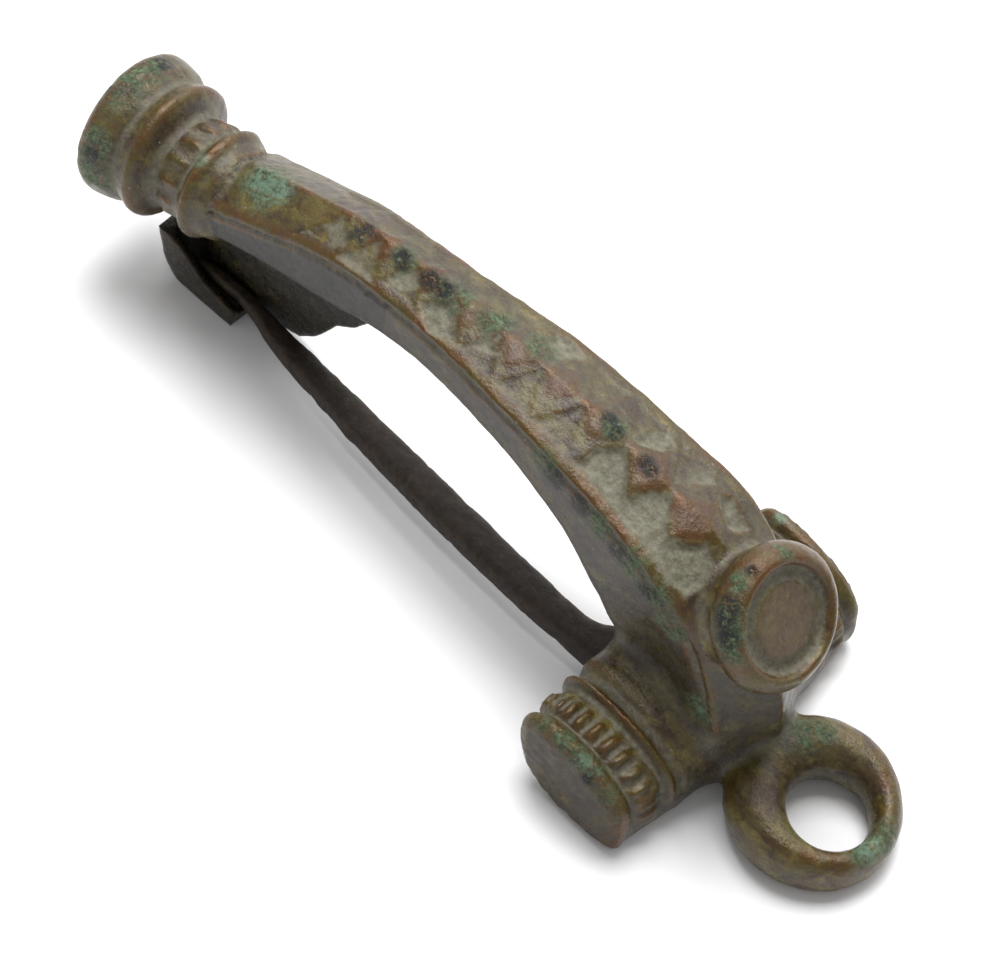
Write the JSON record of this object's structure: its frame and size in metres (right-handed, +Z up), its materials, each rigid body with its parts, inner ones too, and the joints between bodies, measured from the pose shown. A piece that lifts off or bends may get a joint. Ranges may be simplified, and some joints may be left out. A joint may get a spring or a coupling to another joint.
{
  "type": "bow brooch",
  "caption": "Roman headstud fibula: an arched bow brooch with a zig-zag ridge, foot knob, stud, moulded wings and headloop, and a hinged pin that rests in a catchplate.",
  "frame": {"origin": "under the middle of the brooch's length and width, on the surface it lies on", "axes": "+X from the foot knob to the headloop, +Y from the near wing to the far wing, +Z up, the way the bow stands"},
  "size_m": [0.0584, 0.02, 0.0176],
  "materials": {
    "casting": "worn brown-olive patina with orange-brown edges and green patches",
    "bar": "dull brown patina",
    "pin": "rough dark brown-grey patina"
  },
  "bodies": {
    "brooch": {"brooch_casting": "casting", "hinge_bar": "bar"},
    "pin": {"pin": "pin"}
  },
  "joints": [
    {"name": "pin_hinge", "type": "hinge", "parent": "brooch", "child": "pin", "pos_m": [0.01461, 0, 0.0022], "axis": [0, -1, 0], "range_deg": [-7, 110]}
  ]
}
